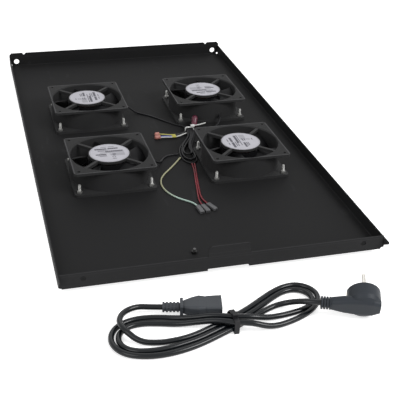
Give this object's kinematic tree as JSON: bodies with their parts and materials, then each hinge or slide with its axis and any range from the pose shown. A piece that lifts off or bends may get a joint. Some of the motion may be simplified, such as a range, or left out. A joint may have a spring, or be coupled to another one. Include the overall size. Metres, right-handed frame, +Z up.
{
  "type": "rack fan tray",
  "caption": "Shallow dark sheet-steel tray for an equipment rack, carrying axial fans over wire finger guards, with their tied harness and a mains lead.",
  "frame": {"origin": "on the floor under the middle of the tray, at the bottom of its bounding box without the mains lead", "axes": "+X to the right across the tray, +Y to the back along its depth, +Z up along the fans' axes"},
  "size_m": [0.425, 0.9098, 0.047],
  "materials": {
    "tray_paint": "dark powder coat, satin",
    "zinc": "zinc-plated steel",
    "lead_black": "black lead insulation",
    "lead_red": "red wire insulation",
    "lead_earth": "green-yellow wire insulation",
    "lead_white": "white wire insulation",
    "lead_blue": "blue wire insulation",
    "lead_yellow": "yellow wire insulation",
    "cap_coral": "coral crimp cap",
    "cap_magenta": "magenta crimp cap",
    "brass_tin": "tinned brass",
    "sleeve_clear": "grey translucent sleeve",
    "tie_white": "white nylon",
    "tie_black": "black nylon",
    "cord_black": "black cord sheath",
    "moulding_black": "black moulded plastic",
    "nickel": "nickel-plated brass",
    "fan_casting": "black die-casting",
    "lamination": "silicon-steel laminations",
    "winding": "enamelled copper",
    "label": "bare foil label",
    "rotor_black": "black moulded rotor",
    "shaft_steel": "ground steel",
    "guard_chrome": "chromed wire"
  },
  "bodies": {
    "tray": {"tray_plate": "tray_paint", "earth_stud": "zinc", "earth_nut": "zinc", "fan_screws": "zinc", "fan_nuts": "zinc", "lead_hank": "lead_black", "supply_lead_1": "lead_red", "supply_lead_2": "lead_red", "earth_lead": "lead_earth", "link_wire_white": "lead_white", "link_wire_blue": "lead_blue", "link_wire_yellow": "lead_yellow", "crimp_caps_coral": "cap_coral", "crimp_cap_magenta": "cap_magenta", "blade_terminals": "brass_tin", "terminal_sleeves": "sleeve_clear", "harness_tie": "tie_white", "power_cord": "cord_black", "connector_housing": "moulding_black", "connector_contacts": "brass_tin", "plug_body": "moulding_black", "plug_pins": "nickel", "plug_earth_clips": "brass_tin", "cord_tie": "tie_black", "fan_frame_1": "fan_casting", "stator_core_1": "lamination", "stator_coil_1": "winding", "fan_label_1": "label", "bearings_1": "shaft_steel", "finger_guard_1": "guard_chrome", "fan_lead_1": "lead_black", "fan_frame_2": "fan_casting", "stator_core_2": "lamination", "stator_coil_2": "winding", "fan_label_2": "label", "bearings_2": "shaft_steel", "finger_guard_2": "guard_chrome", "fan_lead_2": "lead_black", "fan_frame_3": "fan_casting", "stator_core_3": "lamination", "stator_coil_3": "winding", "fan_label_3": "label", "bearings_3": "shaft_steel", "finger_guard_3": "guard_chrome", "fan_lead_3": "lead_black", "fan_frame_4": "fan_casting", "stator_core_4": "lamination", "stator_coil_4": "winding", "fan_label_4": "label", "bearings_4": "shaft_steel", "finger_guard_4": "guard_chrome", "fan_lead_4": "lead_black"},
    "rotor_1": {"rotor_1": "rotor_black", "rotor_shaft_1": "shaft_steel"},
    "rotor_2": {"rotor_2": "rotor_black", "rotor_shaft_2": "shaft_steel"},
    "rotor_3": {"rotor_3": "rotor_black", "rotor_shaft_3": "shaft_steel"},
    "rotor_4": {"rotor_4": "rotor_black", "rotor_shaft_4": "shaft_steel"}
  },
  "joints": [
    {"name": "fan_1_spin", "type": "hinge", "parent": "tray", "child": "rotor_1", "pos_m": [-0.102, -0.10225, 0.025], "axis": [0, 0, 1], "continuous": true},
    {"name": "fan_2_spin", "type": "hinge", "parent": "tray", "child": "rotor_2", "pos_m": [0.102, -0.10225, 0.025], "axis": [0, 0, 1], "continuous": true},
    {"name": "fan_3_spin", "type": "hinge", "parent": "tray", "child": "rotor_3", "pos_m": [-0.102, 0.11475, 0.025], "axis": [0, 0, 1], "continuous": true},
    {"name": "fan_4_spin", "type": "hinge", "parent": "tray", "child": "rotor_4", "pos_m": [0.102, 0.11475, 0.025], "axis": [0, 0, 1], "continuous": true}
  ]
}
